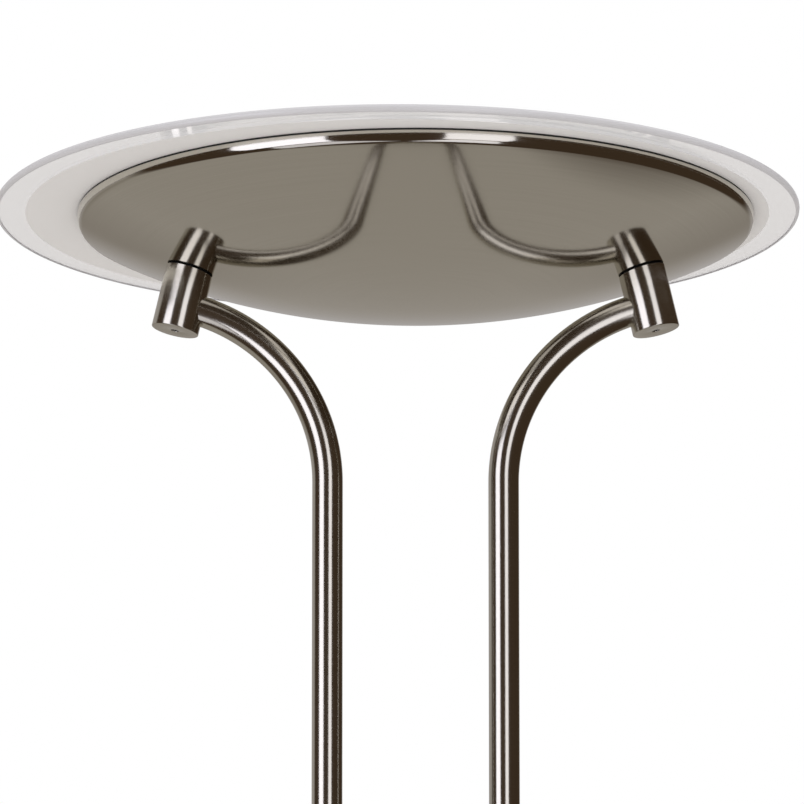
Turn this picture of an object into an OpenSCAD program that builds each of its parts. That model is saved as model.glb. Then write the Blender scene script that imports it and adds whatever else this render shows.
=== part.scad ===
/* [Overall] */
// Height from the floor to the top of the glass
overall_h = 1800; // [1700:10:1900]

/* [Glass] */
// Diameter of the glass disc
glass_d = 423; // [400:1:430]
// Thickness of the glass disc
glass_t = 4; // [3:0.5:5]
// How far the disc lies to the left of the lamp's axis
glass_left = 9.6; // [0:0.2:10]
// How far the disc lies behind the lamp's axis
glass_back = 1.2; // [0:0.2:8]

/* [Dish] */
// Diameter of the dish at its rim
dish_d = 356; // [352:1:360]
// Outer radius of the dish's round bottom
ball_r = 399; // [396:1:402]
// Radius that turns the bottom into the rim
shoulder_r = 4.5; // [4:0.5:5]
// Height of the upright lip above the shoulder
lip_h = 2.5; // [2:0.1:3]
// Sheet thickness of the dish
dish_t = 1.2; // [1:0.1:1.4]

/* [Arms and poles] */
// Outside diameter of the tubes
tube_d = 16; // [15:0.5:16.5]
// Wall thickness of the tubes
tube_wall = 1.5; // [1.2:0.1:1.8]
// Distance between the axes of the two tubes
tube_gap = 92; // [90:1:94]
// Radius of the bend, on the tube's axis
bend_r = 97; // [95:1:99]
// Depth below the rim at which the bend starts
bend_drop = 143.3; // [142:0.1:144.5]
// Diameter of the barrels that carry the dish
barrel_d = 25; // [24:0.5:27]
// Lean of the barrels from upright, tops inwards
barrel_tilt = 13; // [12:0.5:14]
// Length of the barrel below the arm's axis
barrel_low = 13.8; // [13:0.1:15]
// Height of the upper joint of the poles
upper_joint = 1190; // [1100:10:1250]
// Height of the lower joint of the poles
lower_joint = 610; // [500:10:700]

/* [Dimmer] */
// Height of the dimmer housing
housing_h = 60; // [56:1:70]
// Depth of the dimmer housing, front to back
housing_d = 30; // [30:1:36]
// Diameter of the dimmer knob
knob_d = 26; // [22:1:32]

/* [Base] */
// Diameter of the base
base_d = 290; // [270:5:320]
// Height of the base
base_h = 32; // [31:1:36]

/* [Hidden] */
$fn = 64;
fine = 180;          // facets on the big rounds
gap = 0.1;           // play between pieces that only lie together
over = 1;            // how far a cut runs past the face it opens

// head
seat_t = 1;          // ring between the glass and the rim
seat_w = 6;
rim_z = overall_h - glass_t - seat_t;
corner_x = dish_d / 2 - shoulder_r;
ball_c = sqrt(pow(ball_r - shoulder_r, 2) - pow(corner_x, 2)) - lip_h;
flange_w = 10;
gasket_t = 0.6;

// arms, measured from the rim's plane
tube_x = tube_gap / 2;
tube_bore = tube_d - 2 * tube_wall;
sweep = 90 - barrel_tilt;
reach = 2;           // straight length of arm between the bend and the barrel's axis
bend_lap = 0.8;       // how far the straight lengths run into the bend
bend_grow = 0.1;      // how much wider the bend is, so that they end inside its wall
arm_tail = 5;        // length of arm past the barrel's axis
grub_d = 4;          // screw that holds the arm in its barrel
joint_x = tube_x + bend_r * (1 - cos(sweep)) + reach * cos(barrel_tilt);
joint_z = -bend_drop + bend_r * sin(sweep) + reach * sin(barrel_tilt);

// threaded hollow nipples, their nuts and washers
nipple_d = 10;
nipple_bore = 8;
nipple_hole = nipple_d + 0.4;
nut_af = 14;
nut_h = 5;
head_seat = 24;      // height of the strap's underside above the arm's axis, along the barrel
head_nipple_low = 12;
head_nipple_top = 33;

// lamp strap
strap_w = 20;
strap_t = 2;
strap_end = 12;
strap_break = 78;
strap_s = (strap_break - joint_x + head_seat * sin(barrel_tilt)) / cos(barrel_tilt);
strap_z = joint_z + strap_s * sin(barrel_tilt) + head_seat * cos(barrel_tilt);
strap_top = strap_z + strap_t;
tab_w = 60;
tab_y = 56;

// double-ended lamp and its holders
lamp_z = strap_top + 16;
lamp_contact = 57.1;
lamp_end = 59;
quartz_d = 10;
quartz_end = 40;
pinch_end = 49;
holder_in = 60;
holder_out = 76;
holder_mid = (holder_in + holder_out) / 2;
holder_w = 18;
holder_h = 26;
step_x = 66;         // where the holder's narrow bore widens
nose_d = 4.6;
head_d = 7.2;
shield_t = 0.8;
rivet_x = 30;
block_y = 40;
block_w = 34;
block_l = 14;
block_h = 14;
block_pitch = 11;
core_z = strap_top + 5;
earth_x = 24;

// dimmer housing, measured from the upper joint
housing_w = tube_gap + 24;
housing_wall = 2;
housing_r = 8;
cavity_w = 68;
pillar_x = 28;
pillar_d = 8;
wire_z = 15;
wire_hole = 8;
board_y = -4;
board_t = 1.6;
pot_y = -12.8;
knob_y = -housing_d / 2 - 0.6;
knob_h = 14;

// base
pad_under = 2;
plate_t = 1.5;
cover_t = 1.2;
weight_z = pad_under + plate_t;
weight_d = base_d - 40;
weight_step = 19;
boss_r = 75;
channel_top = 14;
well_d = 26;
well_top = 23.5;
screw_ring = 95;
bushing_z = 12;
bushing_r = 3.5;
bushing_len = 16;
bushing_y = base_d / 2 - 9;

// small functions for directions and for the routes of the wires
function unit(v) = v / norm(v);
function along(p, i) = unit(p[min(i + 1, len(p) - 1)] - p[max(i - 1, 0)]);
function settle(n, t) = unit(n - (n * t) * t);
// a point on the barrel's plane: x outwards along the arm, t up the barrel
function by_barrel(x, t) = [joint_x + x * cos(barrel_tilt) - t * sin(barrel_tilt),
                            joint_z + x * sin(barrel_tilt) + t * cos(barrel_tilt)];
function flip(p) = [-p[0], p[1]];
function left_of(p) = [-p[0], 0, p[1] + rim_z];
// a smooth curve through a list of points, steps to each span
function curve(p, steps) = concat([for (i = [0 : len(p) - 2], k = [0 : steps - 1])
    let (a = p[max(i - 1, 0)], b = p[i], c = p[i + 1], d = p[min(i + 2, len(p) - 1)], s = k / steps)
    b + s * (c - a) / 2 + s * s * (a - 2.5 * b + 2 * c - d / 2) + s * s * s * (1.5 * (b - c) + (d - a) / 2)],
    [p[len(p) - 1]]);

// a round wire that follows a list of points
module wire(p, d, sides = 8) {
    n = len(p);
    first = settle([0.31, 0.83, 0.46], along(p, 0));
    side = [for (i = 0, v = first; i < n; i = i + 1, v = i < n ? settle(v, along(p, i)) : v) v];
    rings = [for (i = [0 : n - 1], k = [0 : sides - 1])
        p[i] + d / 2 * (cos(360 * k / sides) * side[i] + sin(360 * k / sides) * cross(along(p, i), side[i]))];
    walls = [for (i = [0 : n - 2], k = [0 : sides - 1])
        let (m = (k + 1) % sides) [i * sides + k, (i + 1) * sides + k, (i + 1) * sides + m, i * sides + m]];
    ends = [[for (k = [0 : sides - 1]) k], [for (k = [sides - 1 : -1 : 0]) (n - 1) * sides + k]];
    polyhedron(rings, concat(walls, ends));
}

module head() translate([0, 0, rim_z]) children();
module at_barrel() translate([joint_x, 0, joint_z]) rotate([0, -barrel_tilt, 0]) children();
module leftward() mirror([1, 0, 0]) children();
module pair() {
    children();
    leftward() children();
}
module ball(grow) translate([0, 0, ball_c]) sphere(r = ball_r + grow, $fn = 2 * fine);
module ring(outer, inner, h) difference() {
    cylinder(d = outer, h = h);
    translate([0, 0, -over]) cylinder(d = inner, h = h + 2 * over);
}
module hex_nut(af, bore, h) difference() {
    cylinder(d = af / cos(30), h = h, $fn = 6);
    translate([0, 0, -over]) cylinder(d = bore, h = h + 2 * over);
}
module cross_rod(x0, x1, d) translate([x0, 0, 0]) rotate([0, 90, 0]) cylinder(d = d, h = x1 - x0);
module slab(x, y, z) translate([x[0], y[0], z[0]]) cube([x[1] - x[0], y[1] - y[0], z[1] - z[0]]);
module rounded(w, h, r) {
    square([w - 2 * r, h], center = true);
    square([w, h - 2 * r], center = true);
    for (x = [-1, 1], y = [-1, 1]) translate([x * (w / 2 - r), y * (h / 2 - r)]) circle(r = r);
}
// turns a plan drawn in x and z so that it runs from y0 to y1
module upright(y0, y1) translate([0, y1, 0]) rotate([90, 0, 0]) linear_extrude(y1 - y0) children();

// ---- head ----

module glass_disc() color("gainsboro", 0.6) translate([-glass_left, glass_back, overall_h - glass_t])
    rotate_extrude($fn = fine) {
        square([(glass_d - glass_t) / 2, glass_t]);
        translate([(glass_d - glass_t) / 2, glass_t / 2]) circle(d = glass_t);
    }

module glass_gasket() color("dimgrey") head() difference() {
    cylinder(d = dish_d - 0.8, h = seat_t, $fn = fine);
    translate([0, 0, -over]) cylinder(d = dish_d - 0.8 - 2 * seat_w, h = seat_t + 2 * over, $fn = fine);
}

module bowl_outline(inset) intersection() {
    union() {
        intersection() {
            translate([0, ball_c]) circle(r = ball_r - inset, $fn = 4 * fine);
            polygon([[0, ball_c], [0, ball_c - 2 * ball_r], [2 * corner_x, -ball_c - 2 * lip_h]]);
        }
        translate([corner_x, -lip_h]) circle(r = shoulder_r - inset);
        translate([0, -lip_h]) square([dish_d / 2 - inset, lip_h]);
    }
    translate([0, -ball_r]) square([dish_d, ball_r]);
}

module dish_shell() color("silver") head() difference() {
    rotate_extrude($fn = fine) difference() {
        bowl_outline(0);
        intersection() {
            bowl_outline(dish_t);
            translate([0, -ball_r - dish_t]) square([dish_d, ball_r]);
        }
        translate([0, -2 * dish_t]) square([dish_d / 2 - flange_w, 2 * dish_t + over]);
    }
    pair() at_barrel() translate([0, 0, head_nipple_low]) cylinder(d = nipple_hole, h = 15);
}

module dish_gaskets() color("dimgrey") head() pair() difference() {
    intersection() {
        at_barrel() translate([0, 0, head_nipple_low]) ring(barrel_d - 0.6, nipple_hole, 14);
        ball(gasket_t - gap / 2);
    }
    ball(gap / 2);
}

module head_nipples() color("goldenrod") head() pair() at_barrel()
    translate([0, 0, head_nipple_low]) ring(nipple_d, nipple_bore, head_nipple_top - head_nipple_low);

module head_washers() color("lightsteelblue") head() pair() intersection() {
    at_barrel() translate([0, 0, head_seat - 6]) ring(20, nipple_hole, 6 - gap);
    ball(-dish_t - gap / 2);
}

module head_nuts() color("goldenrod") head() pair() at_barrel()
    translate([0, 0, head_seat + strap_t + gap]) hex_nut(nut_af, nipple_d + gap, nut_h);

module lamp_strap() color("lightslategrey") head() difference() {
    union() {
        upright(-strap_w / 2, strap_w / 2) {
            inner = strap_break - strap_t * tan(barrel_tilt / 2);
            low = by_barrel(strap_end, head_seat);
            high = by_barrel(strap_end, head_seat + strap_t);
            polygon([[-strap_break, strap_z], [strap_break, strap_z], low, high,
                     [inner, strap_top], [-inner, strap_top], flip(high), flip(low)]);
        }
        slab([-tab_w / 2, tab_w / 2], [0, tab_y], [strap_z, strap_top]);
    }
    pair() at_barrel() translate([0, 0, head_seat - over]) cylinder(d = nipple_hole, h = strap_t + 2 * over);
    for (x = [-1, 1]) {
        translate([x * holder_mid, 0, strap_z - over]) cylinder(d = 3.2, h = strap_t + 2 * over);
        translate([x * rivet_x, 0, strap_z - over]) cylinder(d = 3.2, h = strap_t + 2 * over);
    }
    translate([earth_x, block_y + block_l / 2, strap_z - over]) cylinder(d = 4.2, h = strap_t + 2 * over);
}

module heat_shield() color("whitesmoke") head() difference() {
    slab([-54, 54], [-30, 30], [strap_top + gap, strap_top + gap + shield_t]);
    for (x = [-rivet_x, rivet_x]) translate([x, 0, strap_top]) cylinder(d = 3.2, h = 2);
}

module shield_rivets() color("silver") head() for (x = [-rivet_x, rivet_x]) translate([x, 0, 0]) {
    translate([0, 0, strap_z - 1.3]) cylinder(d = 6, h = 1.2);
    translate([0, 0, strap_z - 0.2]) cylinder(d = 3, h = strap_t + shield_t + 0.6);
    translate([0, 0, strap_top + shield_t + 2 * gap]) cylinder(d = 6, h = 1.2);
}

// one lamp holder, on the right: a block with a stepped bore for its contact
module lamp_holder() difference() {
    slab([holder_in, holder_out], [-holder_w / 2, holder_w / 2], [strap_top + gap, strap_top + holder_h]);
    translate([0, 0, lamp_z]) {
        cross_rod(holder_in - over, holder_out, nose_d + 0.1);
        cross_rod(step_x, holder_out + over, head_d + 0.1);
    }
    for (y = [-1, 1]) translate([0, y * holder_w / 2, 0])
        slab([holder_in + 3, holder_out - 3], [-1.5, 1.5], [strap_top + 6, strap_top + holder_h - 6]);
    translate([holder_mid, 0, strap_top]) cylinder(d = 3, h = 9);
}
module lamp_holder_left() color("ivory") head() leftward() lamp_holder();
module lamp_holder_right() color("ivory") head() lamp_holder();

module holder_screws() color("silver") head()
    for (x = [-holder_mid, holder_mid]) translate([x, 0, strap_z]) {
        translate([0, 0, -2.1]) cylinder(d = 5.6, h = 2);
        translate([0, 0, -0.2]) cylinder(d = 2.9, h = strap_t + 8);
    }

module fixed_contact() color("peru") head() leftward() translate([0, 0, lamp_z]) {
    cross_rod(lamp_contact, step_x + 1, nose_d);
    cross_rod(step_x + 0.05, holder_out - 1, head_d);
    cross_rod(holder_out - 1.5, holder_out + 3, 2.6);
}

module sprung_contact() color("peru") head() translate([0, 0, lamp_z]) {
    cross_rod(lamp_contact, step_x + 1, nose_d);
    cross_rod(step_x + 0.05, step_x + 2, head_d);
}

module contact_spring() color("lightsteelblue") head() {
    turns = 4;
    span = 5.6;
    steps = 14;
    wire([for (i = [0 : turns * steps]) let (a = 360 * i / steps)
        [step_x + 2.4 + span * i / (turns * steps), 2.6 * cos(a), lamp_z + 2.6 * sin(a)]], 0.6, 6);
}

module holder_cap() color("ivory") head() translate([0, 0, lamp_z]) difference() {
    union() {
        cross_rod(step_x + 8.4, holder_out, head_d);
        cross_rod(holder_out - 0.1, holder_out + 3, 2.6);
    }
    cross_rod(step_x + 8, holder_out - 0.6, 1.2);
}

module lamp_tube() color("white", 0.5) head() translate([0, 0, lamp_z]) difference() {
    union() {
        cross_rod(-quartz_end, quartz_end, quartz_d);
        for (x = [-1, 1]) translate([x * (quartz_end + pinch_end) / 2, 0, 0])
            cube([pinch_end - quartz_end + 2, 7, 3], center = true);
    }
    cross_rod(-quartz_end + 2, quartz_end - 2, quartz_d - 2);
}

module lamp_ends() color("ivory") head() pair() translate([0, 0, lamp_z]) difference() {
    cross_rod(pinch_end - 2, lamp_end, 9);
    cross_rod(lamp_contact, lamp_end + over, 6);
    cross_rod(pinch_end - 3, pinch_end + 1, 7.8);
}

module lamp_filament() color("darkslategrey") head() translate([0, 0, lamp_z]) {
    cross_rod(-quartz_end + 3, quartz_end - 3, 1.4);
    for (x = [-30 : 12 : 30]) cross_rod(x - 0.3, x + 0.3, quartz_d - 2.6);
}

module terminal_block() color("ghostwhite") head() difference() {
    slab([-block_w / 2, block_w / 2], [block_y, block_y + block_l], [strap_top + gap, strap_top + block_h]);
    for (i = [-1 : 1]) translate([i * block_pitch, 0, 0]) {
        for (y = [0.3, 0.7]) translate([0, block_y + y * block_l, strap_top + block_h - 6])
            cylinder(d = 4, h = 6 + over);
        for (y = [block_y - over, block_y + block_l - 5]) translate([0, y, core_z])
            rotate([-90, 0, 0]) cylinder(d = 3.4, h = 5 + over);
    }
}

module terminal_screws() color("goldenrod") head() for (i = [-1 : 1], y = [0.3, 0.7])
    translate([i * block_pitch, block_y + y * block_l, strap_top + block_h - 5.9]) difference() {
        cylinder(d = 3.8, h = 4);
        translate([-2.5, -0.4, 3]) cube([5, 0.8, 2]);
    }

module earth_screw() color("goldenrod") head() translate([earth_x, block_y + block_l / 2, 0]) {
    translate([0, 0, strap_top + gap]) cylinder(d = 7.5, h = 2.6);
    translate([0, 0, strap_z - 4]) cylinder(d = 4, h = strap_t + 5);
    translate([0, 0, strap_z - 3.3]) cylinder(d = 7 / cos(30), h = 3.2, $fn = 6);
}

// leads from the front of the terminal block to the two contacts
lead_route = [[-11, 42, 5], [-13, 36, 6], [-24, 31, 10], [-50, 28, 14], [-76, 21, 16], [-86, 9, 16],
              [-85, 1, 16], [-79.1, 0, 16]];
module head_leads() color("linen") head() translate([0, 0, strap_top]) for (x = [-1, 1])
    wire(curve([for (p = lead_route) [-x * p[0], p[1], p[2]]], 5), 2.2);

// cable from the dimmer up the left arm, through the barrel and over to the back of the terminal block,
// where its three cores fan out to their holes
cable_over = [[-106, 12, -9], [-99, 30, -12], [-80, 52, -16], [-54, 68, -20], [-28, 76, -24],
              [-8, 77, core_z], [0, 72, core_z], [0, 66, core_z]];
core_fan = [[1.6, 65.9], [3, 63.5], [9.5, 59], [block_pitch, 56.5], [block_pitch, block_y + block_l - 4]];
module lamp_cable() color("dimgrey") {
    low = upper_joint + wire_z;
    start = [[-24, 0, low - 1], [-34, 0, low - 0.5], [-40, 0, low + 0.5],
             [-tube_x + 0.5, 0, low + 5], [-tube_x, 0, low + 13]];
    bend_x = tube_x + bend_r;
    bend = [for (a = [0 : 7 : sweep - 6]) left_of([bend_x - bend_r * cos(a), -bend_drop + bend_r * sin(a)])];
    turn = [for (a = [0 : 22.5 : 90]) left_of(by_barrel(-5.5 + 5.5 * sin(a), 5.5 - 5.5 * cos(a)))];
    rise = [left_of(by_barrel(0, 14)), left_of(by_barrel(0, 30))];
    lift = by_barrel(0, head_nipple_top + 1);
    last = curve(concat([left_of(lift)], [for (p = cable_over) p + [0, 0, rim_z]]), 4);
    wire(concat(curve(start, 4), bend, turn, rise, last), 5);
    head() for (i = [-1 : 1]) wire(curve([for (p = core_fan) [i * p[0], p[1], core_z]], 3), 1.5, 6);
}

// ---- arms and poles ----

// a section carried round the right-hand arm's bend, through an angle that starts at the barrel
module bend(angle) translate([tube_x + bend_r, 0, -bend_drop]) rotate([90, 0, 0])
    rotate([0, 0, 180 - sweep]) rotate_extrude(angle = angle) translate([bend_r, 0]) children();

// the right-hand barrel: coped to the dish, bored for the arm and tapped for its nipple and screw
module barrel() difference() {
    at_barrel() rotate_extrude() polygon([[0, -barrel_low], [barrel_d / 2 - 0.5, -barrel_low],
        [barrel_d / 2, -barrel_low + 0.5], [barrel_d / 2, 26], [0, 26]]);
    ball(gasket_t);
    bend(12) circle(d = tube_d + bend_grow + gap);
    at_barrel() {
        cross_rod(-reach - bend_lap, arm_tail + 0.2, tube_d + gap);
        cylinder(d = nipple_d + gap, h = 30);
        translate([0, 0, -barrel_low - over]) cylinder(d = grub_d + gap, h = barrel_low);
    }
}
module barrel_left() color("silver") head() leftward() barrel();
module barrel_right() color("silver") head() barrel();

module barrel_screws() color("dimgrey") head() pair() at_barrel()
    translate([0, 0, -barrel_low + 0.5]) difference() {
        cylinder(d = grub_d, h = barrel_low - tube_d / 2 - 0.6);
        translate([0, 0, -over]) cylinder(d = 2 / cos(30), h = 2.5 + over, $fn = 6);
    }

// the right-hand arm: the upright and the tail run a little way into the bend, whose wall is a hair thicker
module arm() difference() {
    union() {
        translate([tube_x, 0, upper_joint + gap - rim_z])
            ring(tube_d, tube_bore, rim_z - bend_drop - upper_joint - gap + bend_lap);
        bend(sweep) difference() {
            circle(d = tube_d + bend_grow);
            circle(d = tube_bore - bend_grow);
        }
        at_barrel() translate([-reach - bend_lap, 0, 0]) rotate([0, 90, 0])
            ring(tube_d, tube_bore, reach + arm_tail + bend_lap);
    }
    at_barrel() cylinder(d = nipple_bore + 1, h = tube_d);
}
module arm_left() color("silver") difference() {
    head() leftward() arm();
    translate([0, 0, upper_joint + wire_z]) cross_rod(-tube_x, 0, wire_hole);
}
module arm_right() color("silver") head() arm();

module upper_couplers() color("lightslategrey") pair()
    translate([tube_x, 0, upper_joint - 10]) ring(tube_bore - gap, 8, 20);

module pole(low, high) translate([tube_x, 0, low]) ring(tube_d, tube_bore, high - low);

module pole_middle_left() color("silver") difference() {
    leftward() pole(lower_joint + gap, upper_joint - gap);
    translate([0, 0, upper_joint - wire_z]) cross_rod(-tube_x, 0, wire_hole);
}
module pole_middle_right() color("silver") pole(lower_joint + gap, upper_joint - gap);

module lower_couplers() color("lightslategrey") pair()
    translate([tube_x, 0, lower_joint - 25]) ring(tube_bore - gap, 8, 50);

module pole_lower_left() color("silver") leftward() pole(base_h + gap, lower_joint - gap);
module pole_lower_right() color("silver") pole(base_h + gap, lower_joint - gap);

// ---- dimmer, between the two tubes ----

module at_dimmer() translate([0, 0, upper_joint]) children();
module housing_half(y0, y1) difference() {
    upright(y0, y1) rounded(housing_w, housing_h, housing_r);
    pair() translate([tube_x, 0, -housing_h]) cylinder(d = tube_d + gap, h = 2 * housing_h);
    difference() {
        upright(-housing_d / 2 + housing_wall, housing_d / 2 - housing_wall)
            rounded(cavity_w, housing_h - 2 * housing_wall, 4);
        for (x = [-pillar_x, pillar_x]) translate([x, 0, 0])
            upright(-housing_d / 2, housing_d / 2) circle(d = pillar_d);
    }
    for (z = [-wire_z, wire_z]) translate([0, 0, z]) cross_rod(-tube_x, -cavity_w / 2 + over, wire_hole);
}

module dimmer_shell_front() color("silver") at_dimmer() difference() {
    housing_half(-housing_d / 2, -gap / 2);
    translate([0, -housing_d / 2 - over, 0]) rotate([-90, 0, 0])
        cylinder(d = 7.2, h = housing_wall + 2 * over);
    for (x = [-pillar_x, pillar_x]) translate([x, -9, 0]) rotate([-90, 0, 0]) cylinder(d = 3, h = 10);
}

module dimmer_shell_rear() color("silver") at_dimmer() difference() {
    housing_half(gap / 2, housing_d / 2);
    for (x = [-pillar_x, pillar_x]) translate([x, 0, 0]) rotate([-90, 0, 0]) {
        translate([0, 0, -over]) cylinder(d = 3.4, h = housing_d);
        translate([0, 0, housing_d / 2 - 3]) cylinder(d = 6.4, h = 3 + over);
    }
}

module dimmer_screws() color("dimgrey") at_dimmer() for (x = [-pillar_x, pillar_x])
    translate([x, 0, 0]) rotate([-90, 0, 0]) difference() {
        union() {
            translate([0, 0, -8.5]) cylinder(d = 2.9, h = housing_d / 2 + 6);
            translate([0, 0, housing_d / 2 - 2.9]) cylinder(d = 6, h = 2.4);
        }
        for (a = [0, 90]) rotate([0, 0, a]) translate([-1.8, -0.4, housing_d / 2 - 1.5]) cube([3.6, 0.8, 2]);
    }

module dimmer_board() color("darkgreen") at_dimmer() upright(board_y, board_y + board_t)
    rounded(44, 38, 2);

module dimmer_choke() color("peru") at_dimmer() translate([-11, board_y + board_t + 4.1, 8])
    rotate([90, 0, 0]) rotate_extrude() translate([5.5, 0]) circle(d = 5);

module dimmer_triac() color("dimgrey") at_dimmer() {
    slab([3, 19], [board_y + board_t + gap, board_y + board_t + 4.6], [-2, 14]);
    slab([5, 17], [board_y + board_t + 4.5, board_y + board_t + 9], [-1, 1]);
}

module dimmer_capacitor() color("gold") at_dimmer()
    slab([-18, 6], [board_y + board_t + gap, board_y + board_t + 9], [-15, -6]);

module dimmer_pot() color("lightslategrey") at_dimmer() translate([0, pot_y, 0]) rotate([-90, 0, 0])
    difference() {
    union() {
        cylinder(d = 17, h = board_y - gap - pot_y);
        translate([0, 0, -6]) cylinder(d = 7, h = 7);
    }
    translate([0, 0, -6 - over]) cylinder(d = 6, h = 12 + over);
}

module dimmer_nut() color("silver") at_dimmer() translate([0, -housing_d / 2 - 2.1, 0])
    rotate([-90, 0, 0]) hex_nut(10, 7 + gap, 2);

module dimmer_shaft() color("lightsteelblue") at_dimmer() translate([0, pot_y, 0]) rotate([-90, 0, 0])
    translate([0, 0, -14]) cylinder(d = 5.9, h = 19.5);

module dimmer_knob() color("silver") at_dimmer() translate([0, knob_y, 0]) rotate([90, 0, 0]) difference() {
    rotate_extrude() polygon([[0, 0], [knob_d / 2, 0], [knob_d / 2, knob_h - 1.5],
        [knob_d / 2 - 1.5, knob_h], [0, knob_h]]);
    translate([0, 0, -over]) cylinder(d = 14, h = 6 + over);
    translate([0, 0, 5]) cylinder(d = 5.9, h = 6.4);
    for (a = [0 : 10 : 350]) rotate([0, 0, a])
        translate([knob_d / 2 + 0.2, 0, 2]) cylinder(d = 1.2, h = knob_h - 5);
    rotate([0, 0, 225]) translate([knob_d / 2 - 6, -0.5, knob_h - 0.5]) cube([5, 1, 2]);
}

// ---- base ----

module at_screws() for (i = [0 : 2]) rotate([0, 0, 30 + 120 * i]) translate([screw_ring, 0, 0]) children();

module pole_plugs() color("lightslategrey") pair()
    translate([tube_x, 0, base_h + 0.3]) ring(tube_bore - gap, nipple_d + gap, 15);

module pole_collars() color("silver") pair() translate([tube_x, 0, base_h + gap])
    rotate_extrude() difference() {
        union() {
            square([15, 4]);
            square([13, 6]);
            translate([13, 4]) circle(r = 2);
        }
        translate([0, -over]) square([tube_d / 2 + gap, 8 + over]);
    }

module base_cover() color("silver") difference() {
    rotate_extrude($fn = fine) difference() {
        cover_outline(0);
        cover_outline(cover_t);
    }
    pair() translate([tube_x, 0, base_h - 3]) cylinder(d = nipple_hole, h = 6);
    translate([0, base_d / 2 - 8, bushing_z]) rotate([-90, 0, 0]) cylinder(d = 12.2, h = 20);
}
module cover_outline(inset) {
    r = 8;
    low = pad_under - (inset > 0 ? over : 0);
    translate([0, low]) square([base_d / 2 - r, base_h - inset - low]);
    translate([0, low]) square([base_d / 2 - inset, base_h - r - low]);
    translate([base_d / 2 - r, base_h - r]) circle(r = r - inset);
}

module base_weight() color("dimgrey") difference() {
    union() {
        translate([0, 0, weight_z + gap]) cylinder(d = weight_d, h = weight_step - weight_z, $fn = fine);
        translate([0, 0, weight_z + gap])
            cylinder(r = boss_r, h = base_h - cover_t - weight_z - 2 * gap, $fn = fine);
    }
    pair() translate([tube_x, 0, 0]) {
        cylinder(d = nipple_hole, h = base_h);
        cylinder(d = well_d, h = well_top);
    }
    slab([-22, 8], [60, weight_d], [0, channel_top]);
    slab([-tube_x - 5, 8], [-2, 62], [0, channel_top]);
    at_screws() cylinder(d = 4, h = 13);
}

module base_nipples() color("goldenrod") pair()
    translate([tube_x, 0, 16]) ring(nipple_d, nipple_bore, base_h + 14 - 16);

module base_washers() color("lightsteelblue") pair()
    translate([tube_x, 0, well_top - 1.6]) ring(22, nipple_hole, 1.5);

module base_nuts() color("goldenrod") pair()
    translate([tube_x, 0, well_top - 1.7 - nut_h]) hex_nut(nut_af, nipple_d + gap, nut_h);

// cable from the bushing through the weight's channel, up the left pole and out into the dimmer
base_route = [[0, 135.5, 12], [0, 128, 11], [-1, 118, 8.5], [-4, 100, 8], [-10, 80, 8], [-19, 58, 8],
              [-28, 38, 8], [-37, 19, 8], [-42, 8, 8.6], [-45, 2, 13], [-46, 0, 20]];
module supply_cable() color("dimgrey") {
    top = upper_joint - wire_z;
    finish = [[-tube_x, 0, top - 13], [-tube_x + 0.5, 0, top - 5], [-40, 0, top - 0.5],
              [-34, 0, top + 0.5], [-24, 0, top + 1]];
    wire(concat(curve(base_route, 4), curve(finish, 4)), 5.4);
}

module cord_bushing() color("dimgrey") translate([0, bushing_y, bushing_z]) rotate([-90, 0, 0]) difference() {
    union() {
        cylinder(d = 12, h = bushing_len);
        translate([0, 0, 9.6]) cylinder(d = 16, h = bushing_len - 9.6);
    }
    translate([0, 0, -over]) cylinder(r = bushing_r, h = bushing_len + 2 * over);
}

module base_plate() color("lightslategrey") difference() {
    translate([0, 0, pad_under]) cylinder(d = base_d - 2 * cover_t - 0.4, h = plate_t, $fn = fine);
    at_screws() cylinder(d = 4.4, h = 5);
}

module plate_screws() color("silver") at_screws() {
    translate([0, 0, 0.7]) cylinder(d = 8, h = pad_under - 0.7);
    translate([0, 0, 1]) cylinder(d = 3.9, h = 11);
}

module foot_pad() color("black") difference() {
    cylinder(d = base_d - 4, h = pad_under - 0.05, $fn = fine);
    at_screws() translate([0, 0, -over]) cylinder(d = 9, h = 5);
}

glass_disc();
glass_gasket();
dish_shell();
dish_gaskets();
head_nipples();
head_washers();
head_nuts();
lamp_strap();
heat_shield();
shield_rivets();
lamp_holder_left();
lamp_holder_right();
holder_screws();
fixed_contact();
sprung_contact();
contact_spring();
holder_cap();
lamp_tube();
lamp_ends();
lamp_filament();
terminal_block();
terminal_screws();
earth_screw();
head_leads();
lamp_cable();
barrel_left();
barrel_right();
barrel_screws();
arm_left();
arm_right();
upper_couplers();
pole_middle_left();
pole_middle_right();
lower_couplers();
pole_lower_left();
pole_lower_right();
dimmer_shell_front();
dimmer_shell_rear();
dimmer_screws();
dimmer_board();
dimmer_choke();
dimmer_triac();
dimmer_capacitor();
dimmer_pot();
dimmer_nut();
dimmer_shaft();
dimmer_knob();
pole_plugs();
pole_collars();
base_cover();
base_weight();
base_nipples();
base_washers();
base_nuts();
supply_cable();
cord_bushing();
base_plate();
plate_screws();
foot_pad();
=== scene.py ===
import bpy
import math
from mathutils import Matrix, Vector


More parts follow.
